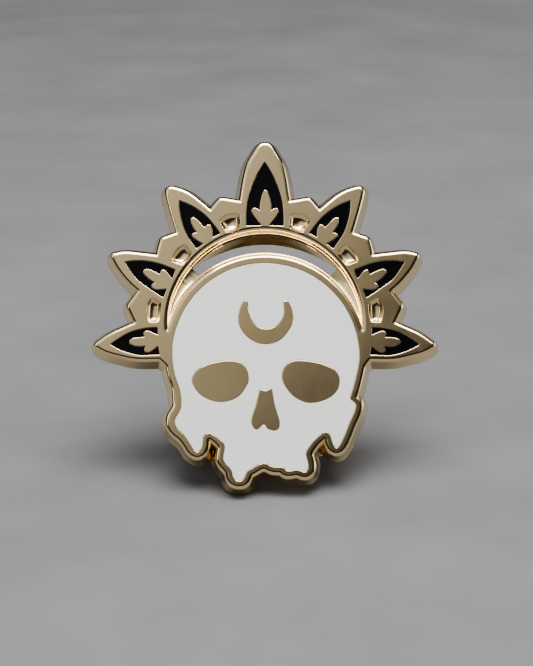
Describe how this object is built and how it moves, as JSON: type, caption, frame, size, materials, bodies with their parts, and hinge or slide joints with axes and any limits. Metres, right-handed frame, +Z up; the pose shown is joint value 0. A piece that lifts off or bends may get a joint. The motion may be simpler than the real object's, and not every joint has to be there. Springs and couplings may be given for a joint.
{
  "type": "enamel pin",
  "caption": "Hard-enamel lapel pin, a skull with a crescent on its brow under a halo of lotus petals, on two posts with butterfly clutches.",
  "frame": {"origin": "centre of the footprint, on the surface the pin stands on", "axes": "+X to the pin's right as seen from the front, +Y to the back, +Z up; the face leans back 29 degrees from upright"},
  "size_m": [0.0384, 0.0208, 0.0351],
  "materials": {
    "plated_gold": "polished gold plate",
    "white_enamel": "polished hard enamel",
    "black_enamel": "polished hard enamel",
    "clutch_metal": "plated pressed sheet",
    "post_metal": "plated wire"
  },
  "bodies": {
    "plate": {"base_plate": "plated_gold", "white_enamel": "white_enamel", "black_enamel_petal_top": "black_enamel", "black_enamel_petal_upper_left": "black_enamel", "black_enamel_petal_upper_right": "black_enamel", "black_enamel_petal_side_left": "black_enamel", "black_enamel_petal_side_right": "black_enamel", "black_enamel_petal_low_left": "black_enamel", "black_enamel_petal_low_right": "black_enamel", "post_left": "post_metal", "post_right": "post_metal"},
    "clutch_left": {"clutch_base_left": "clutch_metal"},
    "clutch_right": {"clutch_base_right": "clutch_metal"},
    "wing_left_outer": {"clutch_wing_left_outer": "clutch_metal"},
    "wing_left_inner": {"clutch_wing_left_inner": "clutch_metal"},
    "wing_right_outer": {"clutch_wing_right_outer": "clutch_metal"},
    "wing_right_inner": {"clutch_wing_right_inner": "clutch_metal"}
  },
  "joints": [
    {"name": "clutch_left_slide", "type": "slide", "parent": "plate", "child": "clutch_left", "axis": [0, 0.8746, -0.4848], "range_m": [-0.0034, 0.0036]},
    {"name": "wing_left_outer_pinch", "type": "hinge", "parent": "clutch_left", "child": "wing_left_outer", "pos_m": [-0.00767, 0.00028, 0.00575], "axis": [0, -0.4848, -0.8746], "range_deg": [0, 9], "stiffness_Nm_per_rad": 0.15},
    {"name": "wing_left_inner_pinch", "type": "hinge", "parent": "clutch_left", "child": "wing_left_inner", "pos_m": [-0.00307, 0.00028, 0.00575], "axis": [0, 0.4848, 0.8746], "range_deg": [0, 9], "stiffness_Nm_per_rad": 0.15},
    {"name": "clutch_right_slide", "type": "slide", "parent": "plate", "child": "clutch_right", "axis": [0, 0.8746, -0.4848], "range_m": [-0.0034, 0.0036]},
    {"name": "wing_right_outer_pinch", "type": "hinge", "parent": "clutch_right", "child": "wing_right_outer", "pos_m": [0.00763, 0.00028, 0.00575], "axis": [0, 0.4848, 0.8746], "range_deg": [0, 9], "stiffness_Nm_per_rad": 0.15},
    {"name": "wing_right_inner_pinch", "type": "hinge", "parent": "clutch_right", "child": "wing_right_inner", "pos_m": [0.00303, 0.00028, 0.00575], "axis": [0, -0.4848, -0.8746], "range_deg": [0, 9], "stiffness_Nm_per_rad": 0.15}
  ]
}
